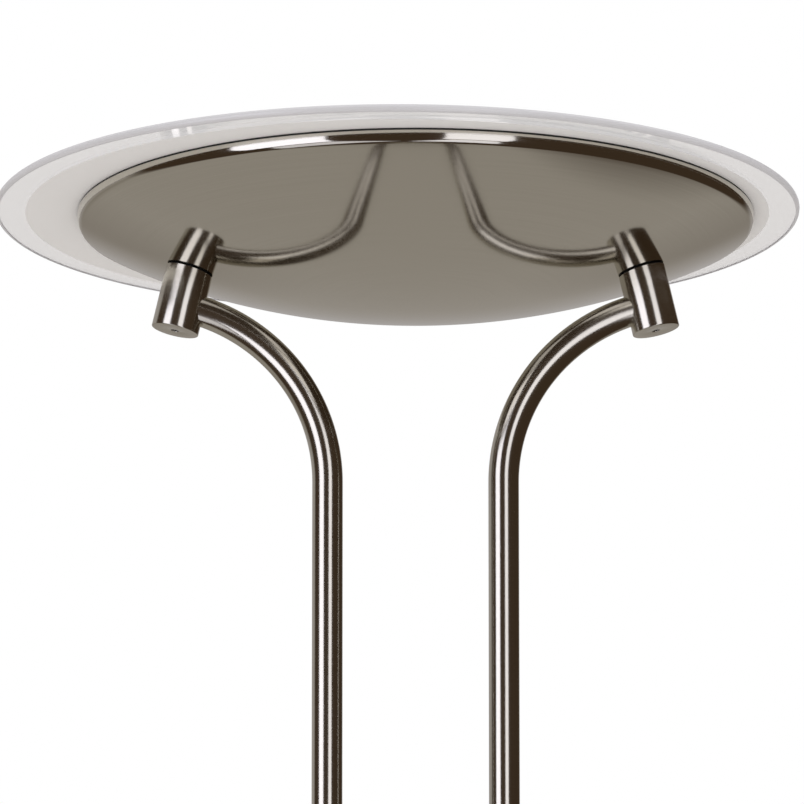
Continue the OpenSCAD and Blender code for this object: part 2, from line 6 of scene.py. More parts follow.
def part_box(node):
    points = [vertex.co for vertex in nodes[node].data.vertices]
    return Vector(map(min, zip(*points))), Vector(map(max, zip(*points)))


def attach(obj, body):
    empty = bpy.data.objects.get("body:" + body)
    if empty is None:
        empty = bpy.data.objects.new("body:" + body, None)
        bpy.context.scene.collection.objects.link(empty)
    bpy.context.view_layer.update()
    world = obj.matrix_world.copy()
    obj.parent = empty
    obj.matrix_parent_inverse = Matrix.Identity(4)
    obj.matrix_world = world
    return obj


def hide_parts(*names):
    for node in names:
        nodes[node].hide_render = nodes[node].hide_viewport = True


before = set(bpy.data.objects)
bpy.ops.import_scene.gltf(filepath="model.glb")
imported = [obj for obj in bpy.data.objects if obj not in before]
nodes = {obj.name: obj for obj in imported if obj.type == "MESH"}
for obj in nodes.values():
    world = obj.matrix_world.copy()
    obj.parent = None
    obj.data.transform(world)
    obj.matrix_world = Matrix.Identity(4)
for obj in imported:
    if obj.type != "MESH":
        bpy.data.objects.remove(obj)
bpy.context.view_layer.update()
mm = 0.001
print("frame loaded")


def hexColor(code):
    channels = [int(code[i:i + 2], 16) / 255 for i in (0, 2, 4)]
    return tuple(c / 12.92 if c <= 0.04045 else ((c + 0.055) / 1.055) ** 2.4 for c in channels) + (1.0,)


def addNode(tree, kind, values={}, links={}, **settings):
    node = tree.nodes.new(kind)
    for key, value in settings.items():
        setattr(node, key, value)
    for key, value in values.items():
        node.inputs[key].default_value = value
    for key, source in links.items():
        tree.links.new(source, node.inputs[key])
    return node


def newMaterial(name, values):
    material = bpy.data.materials.new(name)
    material.use_nodes = True
    shader = material.node_tree.nodes["Principled BSDF"]
    for key, value in values.items():
        shader.inputs[key].default_value = value
    return material, material.node_tree, shader


def objectPattern(tree, size, detail=3.0, rough=0.55):
    # uneven patches of about this size in metres, fixed to the object
    place = addNode(tree, "ShaderNodeTexCoord").outputs["Object"]
    return addNode(tree, "ShaderNodeTexNoise", {"Scale": 1 / size, "Detail": detail, "Roughness": rough},
                   {"Vector": place}).outputs["Fac"]


noiseRange = {"From Min": 0.3, "From Max": 0.7}       # a noise pattern hardly leaves it


def driveShader(tree, shader, pattern, colors=(), gloss=(), relief=0.0, strength=1.0, reach=noiseRange):
    # one pattern changes the colour, the roughness and the relief (in millimetres) together
    if colors:
        share = addNode(tree, "ShaderNodeMapRange", reach, {"Value": pattern})
        blend = addNode(tree, "ShaderNodeMix", {6: hexColor(colors[0]), 7: hexColor(colors[1])},
                        {0: share.outputs["Result"]}, data_type="RGBA")
        tree.links.new(blend.outputs[2], shader.inputs["Base Color"])
    if gloss:
        change = addNode(tree, "ShaderNodeMapRange", {**reach, "To Min": gloss[0], "To Max": gloss[1]},
                         {"Value": pattern})
        tree.links.new(change.outputs["Result"], shader.inputs["Roughness"])
    if relief:
        bump = addNode(tree, "ShaderNodeBump", {"Distance": relief * mm, "Strength": strength},
                       {"Height": pattern})
        tree.links.new(bump.outputs["Normal"], shader.inputs["Normal"])


def deselectAll():
    if bpy.context.object and bpy.context.object.mode != "OBJECT":
        bpy.ops.object.mode_set(mode="OBJECT")
    bpy.ops.object.select_all(action="DESELECT")


def selectOnly(*pieces):
    # the first one becomes the active one
    deselectAll()
    for piece in pieces:
        piece.select_set(True)
    bpy.context.view_layer.objects.active = pieces[0]


def editMode(piece):
    selectOnly(piece)
    bpy.ops.object.mode_set(mode="EDIT")
    bpy.ops.mesh.select_all(action="DESELECT")


def objectMode():
    bpy.ops.object.mode_set(mode="OBJECT")


def closeUp(piece):
    # merges doubles and turns every face outwards
    editMode(piece)
    bpy.ops.mesh.select_all(action="SELECT")
    bpy.ops.mesh.remove_doubles(threshold=0.002 * mm)
    bpy.ops.mesh.normals_make_consistent(inside=False)
    objectMode()


def newPiece(name):
    piece = bpy.context.object
    piece.name = piece.data.name = name
    return piece


def joinPieces(pieces, name):
    selectOnly(*pieces)
    bpy.ops.object.join()
    return newPiece(name)


def selectEdgesAt(piece, axis, levels):
    # the edges that lie at one of these levels from end to end
    for edge in piece.data.edges:
        ends = [piece.data.vertices[i].co[axis] for i in edge.vertices]
        edge.select = any(all(abs(end - level) < 0.01 * mm for end in ends) for level in levels)


def placePiece(piece, matrix):
    piece.data.transform(matrix)
    piece.data.update()


def useModifier(piece, kind, **settings):
    modifier = piece.modifiers.new(kind.title(), kind)
    for key, value in settings.items():
        setattr(modifier, key, value)
    selectOnly(piece)
    bpy.ops.object.modifier_apply(modifier=modifier.name)


def cutWith(piece, cutter):
    useModifier(piece, "BOOLEAN", operation="DIFFERENCE", object=cutter, solver="EXACT")
    bpy.data.objects.remove(cutter, do_unlink=True)


def smoothBy(piece, degrees=30):
    selectOnly(piece)
    bpy.ops.object.shade_smooth_by_angle(angle=math.radians(degrees))


def handOver(piece, body, slotName, material, *stoodFor):
    # the finished piece gets its finish, its body and the nodes that it stands for
    if material is not None:
        piece.data.materials.clear()
        piece.data.materials.append(material)
    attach(piece, body)
    if stoodFor:
        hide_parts(*stoodFor)
    return piece


def arc(centre, radius, start, end, count):
    # points on a circle, angles in degrees from the outward level direction
    return [(centre[0] + radius * math.cos(math.radians(start + (end - start) * i / count)),
             centre[1] + radius * math.sin(math.radians(start + (end - start) * i / count)))
            for i in range(count + 1)]


def turnOutline(name, outline, steps=128):
    # a single point is drawn along the outline, radius and height, and spun round the upright axis
    deselectAll()
    bpy.ops.mesh.primitive_plane_add(size=mm, location=(0, 0, 0))
    piece = newPiece(name)
    editMode(piece)
    bpy.ops.mesh.select_all(action="SELECT")
    bpy.ops.mesh.merge(type="CENTER")
    bpy.ops.mesh.select_all(action="SELECT")
    bpy.ops.transform.translate(value=(outline[0][0], 0, outline[0][1]))
    for here, there in zip(outline, outline[1:]):
        bpy.ops.mesh.extrude_vertices_move(
            TRANSFORM_OT_translate={"value": (there[0] - here[0], 0, there[1] - here[1])})
    bpy.ops.mesh.select_all(action="SELECT")
    bpy.ops.mesh.spin(steps=steps, angle=2 * math.pi, center=(0, 0, 0), axis=(0, 0, 1), use_auto_merge=True)
    objectMode()
    closeUp(piece)
    return piece


def unrollPiece(piece, unroll):
    # writes a UV map: turns round the axis, and metres along the surface
    layer = piece.data.uv_layers.get("UVMap") or piece.data.uv_layers.new(name="UVMap")
    for face in piece.data.polygons:
        flat = [unroll(piece.data.vertices[piece.data.loops[i].vertex_index].co) for i in face.loop_indices]
        for i, (turn, along) in zip(face.loop_indices, flat):
            if turn - flat[0][0] > 0.5:
                turn -= 1
            elif flat[0][0] - turn > 0.5:
                turn += 1
            layer.data[i].uv = (turn, along)


def unrollAround(piece, base=(0, 0, 0), axis=(0, 0, 1), side=(1, 0, 0)):
    base, axis, side = Vector(base), Vector(axis).normalized(), Vector(side).normalized()
    across = axis.cross(side)

    def unroll(point):
        offset = point - base
        out = offset - axis * offset.dot(axis)
        turn = math.atan2(out.dot(across), out.dot(side)) / (2 * math.pi)
        return turn, offset.dot(axis) + out.length

    unrollPiece(piece, unroll)


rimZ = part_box("dish_shell")[1].z
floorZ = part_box("foot_pad")[0].z
poleLow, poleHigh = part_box("pole_lower_right")
tube = {
    "radius": (poleHigh.x - poleLow.x) / 2,
    "x": (poleHigh.x + poleLow.x) / 2,
    "bendRadius": 97 * mm,
    "bendDrop": 143.3 * mm,       # below the rim
    "tilt": math.radians(13),     # the barrels' lean
    "reach": 2 * mm,
    "inBarrel": 5 * mm,
    "endRound": 0.4 * mm,         # shows the joints between the tubes as fine dark lines
    "sides": 64,
    "lengths": 6,                 # pieces in a straight length
    "bendSteps": 56,
}
tube["bendZ"] = rimZ - tube["bendDrop"]
tube["sweep"] = math.pi / 2 - tube["tilt"]


def armEnd(side):
    # where the arm's axis meets the barrel's, the way the arm points and the way the barrel points
    reach = Vector((side * math.cos(tube["tilt"]), 0, math.sin(tube["tilt"])))
    up = Vector((-side * math.sin(tube["tilt"]), 0, math.cos(tube["tilt"])))
    bend = Vector((side * (tube["x"] + tube["bendRadius"] * (1 - math.cos(tube["sweep"]))), 0,
                   tube["bendZ"] + tube["bendRadius"] * math.sin(tube["sweep"])))
    return bend + reach * tube["reach"], reach, up


camera = {
    "lens": 425.6,
    "distance": 5.0,
    "lookUp": 14.45,              # degrees, line of sight to the rim's centre
    "tilt": 13.334,               # degrees, the camera's own tilt above level
    "left": 7.1 * mm,
}


def makeCamera():
    lens = bpy.data.cameras.new("camera")
    lens.lens = camera["lens"]
    lens.sensor_width = 36
    lens.clip_end = 100
    eye = bpy.data.objects.new("camera", lens)
    rise = math.radians(camera["lookUp"])
    away = camera["distance"]
    eye.location = (-camera["left"], -away * math.cos(rise), rimZ - away * math.sin(rise))
    eye.rotation_euler = (math.radians(90 + camera["tilt"]), 0, 0)
    bpy.context.scene.collection.objects.link(eye)
    bpy.context.scene.camera = eye


makeCamera()
print("camera placed")


def brushedNickel(name, roughness, line, lineDepth, stretch):
    # nickel plate on steel, brushed round the axis: its reflections stay sharp across the lines
    # and smear along the piece; the lines are drawn further apart than real ones so that a trace shows
    material, tree, shader = newMaterial(name, {
        "Metallic": 1.0, "Anisotropic": stretch, "Anisotropic Rotation": 0.25})
    unrolled = addNode(tree, "ShaderNodeUVMap", uv_map="UVMap").outputs["UV"]
    parts = addNode(tree, "ShaderNodeSeparateXYZ", {}, {"Vector": unrolled}).outputs
    angle = addNode(tree, "ShaderNodeMath", {1: 2 * math.pi}, {0: parts["X"]},
                    operation="MULTIPLY").outputs[0]
    across = addNode(tree, "ShaderNodeMath", {1: 1 / (line * mm)}, {0: parts["Y"]}, operation="MULTIPLY")
    ring = addNode(tree, "ShaderNodeCombineXYZ", {}, {
        "X": addNode(tree, "ShaderNodeMath", {}, {0: angle}, operation="COSINE").outputs[0],
        "Y": addNode(tree, "ShaderNodeMath", {}, {0: angle}, operation="SINE").outputs[0],
        "Z": across.outputs[0]}).outputs["Vector"]
    lines = addNode(tree, "ShaderNodeTexNoise", {"Scale": 1.0, "Detail": 4.0, "Roughness": 0.65},
                    {"Vector": ring}).outputs["Fac"]
    driveShader(tree, shader, lines, colors=("CBC7BC", "D1CDC2"), relief=lineDepth)
    # faint uneven plating, about 45 mm across, changes the gloss together with the lines
    patches = addNode(tree, "ShaderNodeMapRange", {**noiseRange, "To Min": -0.008, "To Max": 0.008},
                      {"Value": objectPattern(tree, 45.45 * mm, 2.0)})
    gloss = addNode(tree, "ShaderNodeMapRange",
                    {**noiseRange, "To Min": roughness - 0.01, "To Max": roughness + 0.012}, {"Value": lines})
    shine = addNode(tree, "ShaderNodeMath", {}, {0: gloss.outputs["Result"], 1: patches.outputs["Result"]},
                    operation="ADD")
    tree.links.new(shine.outputs[0], shader.inputs["Roughness"])
    tangent = addNode(tree, "ShaderNodeTangent", direction_type="UV_MAP", uv_map="UVMap")
    tree.links.new(tangent.outputs["Tangent"], shader.inputs["Tangent"])
    return material


def clearGlass(name):
    # float glass: faintly warm, sharp reflections at a low angle, wipe marks about 33 mm across
    material, tree, shader = newMaterial(name, {
        "Base Color": hexColor("FFFDFD"), "IOR": 1.52, "Transmission Weight": 1.0})
    driveShader(tree, shader, objectPattern(tree, 33.33 * mm), gloss=(0.01, 0.03))
    return material


def frostedGlass(name):
    # the same sheet, acid-etched on its underside: milky, with a grain that is drawn at 0.4 mm
    material, tree, shader = newMaterial(name, {
        "Base Color": hexColor("FDFAF9"), "IOR": 1.52, "Transmission Weight": 0.08})
    driveShader(tree, shader, objectPattern(tree, 40 * mm), gloss=(0.47, 0.54))
    driveShader(tree, shader, objectPattern(tree, 0.4 * mm, 2.0), relief=0.003, strength=0.4)
    return material


def groundGlass(name):
    # the sheet's rounded edge, ground but not polished: milky with a soft shine
    material, tree, shader = newMaterial(name, {
        "Base Color": hexColor("E3E1E5"), "IOR": 1.52, "Transmission Weight": 0.12})
    driveShader(tree, shader, objectPattern(tree, 0.5 * mm, 2.0), gloss=(0.22, 0.28))
    return material


def paintedInside(name):
    # satin white enamel sprayed inside the dish: slight orange peel, faint clouds of 55 mm
    material, tree, shader = newMaterial(name, {"Roughness": 0.38})
    driveShader(tree, shader, objectPattern(tree, 1.6 * mm, 2.0), relief=0.01, strength=0.5)
    driveShader(tree, shader, objectPattern(tree, 55.56 * mm), colors=("E6E2DA", "EDEAE4"))
    return material


def plainFinish(name, first, second, roughness, grain, metallic=0.0, depth=0.0, change=0.04, extra={}):
    # two close colours, an uneven gloss and a fine relief, all at the grain's size in millimetres
    material, tree, shader = newMaterial(name, {"Metallic": metallic, **extra})
    driveShader(tree, shader, objectPattern(tree, grain * mm, 4.0, 0.6), colors=(first, second),
                gloss=(roughness - change, roughness + change), relief=depth)
    return material


def braidedSleeve(name):
    # glass-fibre sleeve over the lamp leads: two sets of crossing strands, drawn 1.9 mm apart
    material, tree, shader = newMaterial(name, {"Roughness": 0.75, "Sheen Weight": 0.3})
    place = addNode(tree, "ShaderNodeTexCoord").outputs["Object"]
    strands = []
    for turn in (0.8, -0.8):
        turned = addNode(tree, "ShaderNodeMapping", {"Rotation": (0, turn, turn / 2)}, {"Vector": place})
        strands.append(addNode(tree, "ShaderNodeTexWave", {"Scale": 1 / (1.9 * mm), "Distortion": 0.3},
                               {"Vector": turned.outputs["Vector"]}).outputs["Fac"])
    weave = addNode(tree, "ShaderNodeMath", {}, {0: strands[0], 1: strands[1]}, operation="MULTIPLY")
    driveShader(tree, shader, weave.outputs[0], colors=("CFC5AA", "EDE6D3"), relief=0.08,
                reach={"From Min": 0.0, "From Max": 1.0})
    return material


finish = {
    "dishNickel": brushedNickel("brushed nickel, dish", 0.09, 0.6, 0.0003, 0.4),
    "tubeNickel": brushedNickel("brushed nickel, tubes", 0.17, 0.5, 0.00008, 0.2),
    "baseNickel": brushedNickel("brushed nickel, base", 0.24, 0.6, 0.0006, 0.4),
    "turnedNickel": brushedNickel("brushed nickel, turned parts", 0.17, 0.4, 0.0003, 0.2),
    "clearGlass": clearGlass("clear float glass"),
    "frostedGlass": frostedGlass("acid-frosted glass"),
    "groundGlass": groundGlass("ground glass edge"),
    "enamel": paintedInside("satin white enamel"),
    "gasket": plainFinish("black rubber", "151413", "1E1C1B", 0.6, 0.5, depth=0.01),
    "brass": plainFinish("turned brass", "B9924B", "C8A460", 0.28, 0.4, 1.0, 0.004),
    "zinc": plainFinish("bright zinc plate", "A9ADB0", "BCC0C2", 0.32, 1.5, 1.0, 0.003),
    "aluminium": plainFinish("rolled aluminium", "D6D8DA", "E2E4E5", 0.3, 1.2, 1.0, 0.003),
    "ceramic": plainFinish("unglazed steatite", "E6E0D0", "EFEADD", 0.7, 0.6, depth=0.02),
    "copper": plainFinish("bare copper", "B87048", "C98560", 0.3, 0.4, 1.0, 0.003),
    "springSteel": plainFinish("drawn steel", "8E9092", "A4A6A8", 0.3, 0.4, 1.0, 0.003),
    "quartz": plainFinish("fused quartz", "F4F6F6", "FCFDFD", 0.05, 8.0, change=0.02,
                          extra={"Transmission Weight": 1.0, "IOR": 1.46}),
    "tungsten": plainFinish("tungsten wire", "4C4C50", "5E5E63", 0.4, 0.3, 1.0),
    "polyamide": plainFinish("white polyamide", "E8E8E4", "F0F0ED", 0.45, 1.0, depth=0.008),
    "sleeve": braidedSleeve("glass-fibre braid"),
    "cable": plainFinish("silicone cable sheath", "3A3A3A", "454545", 0.5, 0.8, depth=0.01),
    "blackSteel": plainFinish("blackened steel", "1F1F20", "2B2B2C", 0.4, 0.5, 1.0, 0.004),
    "circuitBoard": plainFinish("glass-epoxy board", "1B4A2B", "245A36", 0.4, 1.5, depth=0.01),
    "windings": plainFinish("enamelled copper wire", "9A4A24", "B8622F", 0.25, 0.6, 1.0, 0.05),
    "blackPlastic": plainFinish("moulded ABS, black", "141414", "1B1B1B", 0.45, 0.5, depth=0.008),
    "film": plainFinish("film capacitor casing", "C99A22", "D6A92F", 0.3, 1.0, depth=0.004),
    "castIron": plainFinish("sand-cast iron, painted", "232325", "2F2F31", 0.6, 1.0, depth=0.12),
    "felt": plainFinish("pressed felt", "161616", "242424", 0.95, 0.35, depth=0.12,
                        extra={"Sheen Weight": 0.4}),
}
print("finishes made")


glassLow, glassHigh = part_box("glass_disc")
glass = {
    "centre": ((glassLow.x + glassHigh.x) / 2, (glassLow.y + glassHigh.y) / 2),
    "radius": (glassHigh.y - glassLow.y) / 2,
    "thickness": glassHigh.z - glassLow.z,
    "frosted": 195.5 * mm,        # radius of the etched disc
    "support": 0.1 * mm,          # keeps the flat faces flat up to the rounded edge
    "edgeSteps": 12,
    "steps": 360,
}


def makeGlass():
    half = glass["thickness"] / 2
    edge = arc((glass["radius"] - half, glassLow.z + half), half, -90, 90, glass["edgeSteps"])
    flat = glass["radius"] - half - glass["support"]
    outline = [(0, glassLow.z), (glass["frosted"], glassLow.z), (flat, glassLow.z)] + edge
    outline += [(flat, glassHigh.z), (glass["frosted"], glassHigh.z), (0, glassHigh.z)]
    disc = turnOutline("glass_sheet", outline, glass["steps"])
    placePiece(disc, Matrix.Translation((glass["centre"][0], glass["centre"][1], 0)))
    smoothBy(disc, 20)
    disc.data.materials.append(finish["clearGlass"])
    disc.data.materials.append(finish["frostedGlass"])
    disc.data.materials.append(finish["groundGlass"])
    for face in disc.data.polygons:
        reach = math.hypot(face.center.x - glass["centre"][0], face.center.y - glass["centre"][1])
        if face.normal.z < -0.9 and reach < glass["frosted"]:
            face.material_index = 1
        elif abs(face.normal.z) < 0.999:
            face.material_index = 2
    handOver(disc, "glass", "glass", None, "glass_disc")


makeGlass()
print("glass made")


dish = {
    "radius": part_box("dish_shell")[1].y,
    "depth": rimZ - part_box("dish_shell")[0].z,
    "ball": 399 * mm,
    "shoulder": 4.5 * mm,
    "lip": 2.5 * mm,
    "lean": 0.4 * mm,             # by how much the lip narrows downwards
    "leanAngle": 8,
    "sheet": 1.2 * mm,
    "flange": 10 * mm,
    "edgeRound": 0.35 * mm,
    "steps": 360,
}
dish["ballZ"] = rimZ - dish["depth"] + dish["ball"]


def dishOutline():
    # underside from the middle out, up the lip, in along the flange and back down the inside
    corner = (dish["radius"] - dish["shoulder"], rimZ - dish["lip"])
    slope = math.degrees(math.atan2(corner[0], dish["ballZ"] - corner[1]))
    ballCentre = (0, dish["ballZ"])
    small = dish["edgeRound"]
    outside = arc(ballCentre, dish["ball"], -90, -90 + slope, 48)[:-1]
    drawnIn = (corner[0] - dish["lean"], corner[1] - dish["lean"] * math.tan(math.radians(slope)))
    outside += arc(drawnIn, dish["shoulder"], -90 + slope, -dish["leanAngle"], 14)
    outside += arc((dish["radius"] - small, rimZ - small), small, 0, 90, 4)
    inner = dish["radius"] - dish["flange"]
    outside += arc((inner + small, rimZ - small), small, 90, 180, 4)
    inside = [(inner, rimZ - dish["sheet"])]
    inside += [(dish["radius"] - dish["sheet"], rimZ - dish["sheet"] - 0.1 * mm)]
    inside += arc(corner, dish["shoulder"] - dish["sheet"], 0, -90 + slope, 8)
    inside += arc(ballCentre, dish["ball"] - dish["sheet"], -90 + slope, -90, 32)[1:]
    return outside, inside


def makeDish():
    outside, inside = dishOutline()
    shell = turnOutline("dish_bowl", outside + inside, dish["steps"])
    unrollAround(shell)
    smoothBy(shell, 30)
    shell.data.materials.append(finish["dishNickel"])
    shell.data.materials.append(finish["enamel"])
    centre = Vector((0, 0, dish["ballZ"]))
    for face in shell.data.polygons:
        inBall = (face.center - centre).length < dish["ball"] - dish["sheet"] / 2
        if face.normal.z > 0 and inBall and face.center.z < rimZ - 0.5 * mm:
            face.material_index = 1
    handOver(shell, "stand", "nickel", None, "dish_shell")


makeDish()
print("dish made")


def drawRing(name, x, z, radius):
    deselectAll()
    bpy.ops.mesh.primitive_circle_add(vertices=tube["sides"], radius=radius, fill_type="NGON",
                                      location=(x, 0, z))
    ring = newPiece(name)
    bpy.ops.object.transform_apply(location=True, rotation=True, scale=True)
    return ring


def growRing(lengths, way=(0, 0, 1)):
    # draws the selected ring out along a straight line, one length after another
    for length in lengths:
        bpy.ops.mesh.extrude_region_move(TRANSFORM_OT_translate={"value": tuple(Vector(way) * length)})


def makePole(name, node):
    low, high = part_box(node)
    x = (low.x + high.x) / 2
    pole = drawRing(name, x, low.z, tube["radius"])
    editMode(pole)
    bpy.ops.mesh.select_all(action="SELECT")
    growRing([(high.z - low.z) / tube["lengths"]] * tube["lengths"])
    objectMode()
    closeUp(pole)
    editMode(pole)
    bpy.ops.mesh.select_mode(type="EDGE")
    objectMode()
    selectEdgesAt(pole, 2, (low.z, high.z))
    bpy.ops.object.mode_set(mode="EDIT")
    bpy.ops.mesh.bevel(offset=tube["endRound"], segments=3, affect="EDGES")
    bpy.ops.mesh.select_mode(type="VERT")
    objectMode()
    unrollAround(pole, (x, 0, 0))
    smoothBy(pole, 40)
    handOver(pole, "stand", "nickel", finish["tubeNickel"], node)


def unrollArm(side):
    bendCentre = Vector((side * (tube["x"] + tube["bendRadius"]), 0, tube["bendZ"]))
    end, reach, up = armEnd(side)

    def unroll(point):
        if point.z < tube["bendZ"]:
            out, along = side * point.x - tube["x"], point.z
        else:
            away = point - bendCentre
            turn = math.atan2(away.z, -side * away.x)
            if turn < tube["sweep"]:
                out = tube["bendRadius"] - math.hypot(away.x, away.z)
                along = tube["bendZ"] + tube["bendRadius"] * turn
            else:
                past = point - end
                out = -past.dot(up)
                along = tube["bendZ"] + tube["bendRadius"] * tube["sweep"] + past.dot(reach)
        return math.atan2(point.y, out) / (2 * math.pi), along

    return unroll


def makeArm(name, node, side):
    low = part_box(node)[0]
    end, reach, up = armEnd(side)
    arm = drawRing(name, side * tube["x"], low.z, tube["radius"])
    editMode(arm)
    bpy.ops.mesh.select_all(action="SELECT")
    growRing([(tube["bendZ"] - low.z) / tube["lengths"]] * tube["lengths"])
    bpy.ops.mesh.spin(steps=tube["bendSteps"], angle=tube["sweep"], axis=(0, -side, 0),
                      center=(side * (tube["x"] + tube["bendRadius"]), 0, tube["bendZ"]))
    growRing([tube["reach"], tube["inBarrel"]], reach)
    objectMode()
    closeUp(arm)
    unrollPiece(arm, unrollArm(side))
    smoothBy(arm, 40)
    handOver(arm, "stand", "nickel", finish["tubeNickel"], node)


for sideName, side in (("left", -1), ("right", 1)):
    makePole("lower_tube_" + sideName, "pole_lower_" + sideName)
    makePole("middle_tube_" + sideName, "pole_middle_" + sideName)
    makeArm("bent_tube_" + sideName, "arm_" + sideName, side)
print("tubes made")


barrel = {
    "radius": 12.5 * mm,
    "below": 13.8 * mm,           # below the arm's axis
    "above": 26 * mm,
    "lowRound": 0.5 * mm,
    "holeRound": 0.3 * mm,
    "gasket": 0.6 * mm,
    "gasketInset": 0.3 * mm,
    "screwHole": 2.1 * mm,
    "screwHoleDepth": 4 * mm,
}


def dishTouch(side):
    # where the barrel's axis meets the dish, and the dish's outward direction there
    end, reach, up = armEnd(side)
    centre = Vector((0, 0, dish["ballZ"]))
    toEnd = end - centre
    half = toEnd.dot(up)
    step = -half - math.sqrt(half * half - toEnd.length_squared + dish["ball"] ** 2)
    touch = end + up * step
    return touch, (touch - centre).normalized()


def makeBarrel(side, sideName):
    end, reach, up = armEnd(side)
    touch, outward = dishTouch(side)
    r, low, c = barrel["radius"], -barrel["below"], barrel["lowRound"]
    hole, deep, small = barrel["screwHole"], barrel["screwHoleDepth"], barrel["holeRound"]
    outline = [(0, low + deep), (hole, low + deep), (hole, low + small)]
    outline += arc((hole + small, low + small), small, 180, 270, 3)[1:]
    outline += arc((r - c, low + c), c, -90, 0, 5)
    outline += [(r, 0), (r, 8 * mm), (r, barrel["above"]), (0, barrel["above"])]
    body = turnOutline("barrel_body_" + sideName, outline, 96)
    turn = Matrix.Translation(end) @ Matrix.Rotation(-side * tube["tilt"], 4, "Y")
    placePiece(body, turn)
    # the top is cut off along the dish, leaving room for the gasket
    editMode(body)
    bpy.ops.mesh.select_all(action="SELECT")
    cut = touch + outward * barrel["gasket"]
    bpy.ops.mesh.bisect(plane_co=cut, plane_no=outward, use_fill=True, clear_inner=True)
    objectMode()
    closeUp(body)
    unrollAround(body, end, up, reach)
    smoothBy(body, 35)
    handOver(body, "stand", "nickel", finish["turnedNickel"], "barrel_" + sideName)


def makeGaskets():
    rings = []
    for side in (-1, 1):
        touch, outward = dishTouch(side)
        inset = barrel["radius"] - barrel["gasketInset"]
        thick = barrel["gasket"] - 0.1 * mm
        outline = [(0, 0.05 * mm), (inset - 0.2 * mm, 0.05 * mm)]
        outline += arc((inset - thick / 3, 0.05 * mm + thick / 2), thick / 3, -60, 60, 6)
        outline += [(inset - 0.2 * mm, thick), (0, thick)]
        ring = turnOutline("gasket", outline, 64)
        placePiece(ring, Matrix.Translation(touch) @ outward.to_track_quat("Z", "Y").to_matrix().to_4x4())
        smoothBy(ring, 40)
        rings.append(ring)
    handOver(joinPieces(rings, "barrel_gaskets"), "stand", "gasket", finish["gasket"], "dish_gaskets")


def makeSeat():
    # the ring of black rubber that the glass lies on
    low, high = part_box("glass_gasket")
    small = 0.25 * mm
    inner, outer = high.x - 6 * mm, high.x
    outline = arc((outer - small, low.z + small), small, -90, 0, 4)
    outline += arc((outer - small, high.z - small), small, 0, 90, 4)
    outline += arc((inner + small, high.z - small), small, 90, 180, 4)
    outline += arc((inner + small, low.z + small), small, 180, 270, 4)
    seat = turnOutline("glass_seat", outline + outline[:1], 256)
    smoothBy(seat, 40)
    handOver(seat, "stand", "gasket", finish["gasket"], "glass_gasket")


for sideName, side in (("left", -1), ("right", 1)):
    makeBarrel(side, sideName)
makeGaskets()
makeSeat()
print("barrels made")


shellLow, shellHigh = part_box("dimmer_shell_front")[0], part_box("dimmer_shell_rear")[1]
housing = {
    "corner": 8 * mm,
    "edge": 1.6 * mm,
    "seam": 0.1 * mm,
    "bore": tube["radius"] + 0.05 * mm,
    "shaftHole": 3.6 * mm,        # radius
    "screwHole": 3.2 * mm,
    "screwX": 28 * mm,
    "holeDepth": 3 * mm,
}


def housingBlock(name):
    size = shellHigh - shellLow
    middle = (shellHigh + shellLow) / 2
    deselectAll()
    bpy.ops.mesh.primitive_cube_add(size=1, location=middle)
    block = newPiece(name)
    block.scale = size
    bpy.ops.object.transform_apply(location=True, rotation=True, scale=True)
    editMode(block)
    bpy.ops.mesh.select_mode(type="EDGE")
    objectMode()
    for edge in block.data.edges:
        first, second = [block.data.vertices[i].co for i in edge.vertices]
        edge.select = abs(first.y - second.y) > mm
    bpy.ops.object.mode_set(mode="EDIT")
    bpy.ops.mesh.bevel(offset=housing["corner"], segments=12, affect="EDGES")
    bpy.ops.mesh.select_all(action="DESELECT")
    objectMode()
    selectEdgesAt(block, 1, (shellLow.y, shellHigh.y))
    bpy.ops.object.mode_set(mode="EDIT")
    bpy.ops.mesh.bevel(offset=housing["edge"], segments=5, affect="EDGES")
    bpy.ops.mesh.select_mode(type="VERT")
    objectMode()
    return block


def rod(radius, start, end, sides=64):
    # a plain round cutter between two points
    start, end = Vector(start), Vector(end)
    deselectAll()
    bpy.ops.mesh.primitive_cylinder_add(vertices=sides, radius=radius, depth=(end - start).length)
    cutter = bpy.context.object
    placePiece(cutter, Matrix.Translation((start + end) / 2) @
               (end - start).to_track_quat("Z", "Y").to_matrix().to_4x4())
    return cutter


def makeHousingHalf(name, node, front):
    half = housingBlock(name)
    for x in (-tube["x"], tube["x"]):
        cutWith(half, rod(housing["bore"], (x, 0, shellLow.z - 5 * mm), (x, 0, shellHigh.z + 5 * mm)))
    middleZ = (shellHigh.z + shellLow.z) / 2
    deep = housing["holeDepth"]
    if front:
        cutWith(half, rod(housing["shaftHole"], (0, shellLow.y - mm, middleZ),
                          (0, shellLow.y + deep, middleZ)))
    else:
        for x in (-housing["screwX"], housing["screwX"]):
            cutWith(half, rod(housing["screwHole"], (x, shellHigh.y - deep, middleZ),
                              (x, shellHigh.y + mm, middleZ)))
    editMode(half)
    bpy.ops.mesh.select_all(action="SELECT")
    way = 1 if front else -1
    bpy.ops.mesh.bisect(plane_co=(0, -way * housing["seam"], 0), plane_no=(0, way, 0), use_fill=True,
                        clear_outer=True)
    objectMode()
    closeUp(half)
    unrollAround(half, (0, 0, middleZ), (0, 1, 0), (1, 0, 0))
    smoothBy(half, 30)
    handOver(half, "stand", "nickel", finish["turnedNickel"], node)


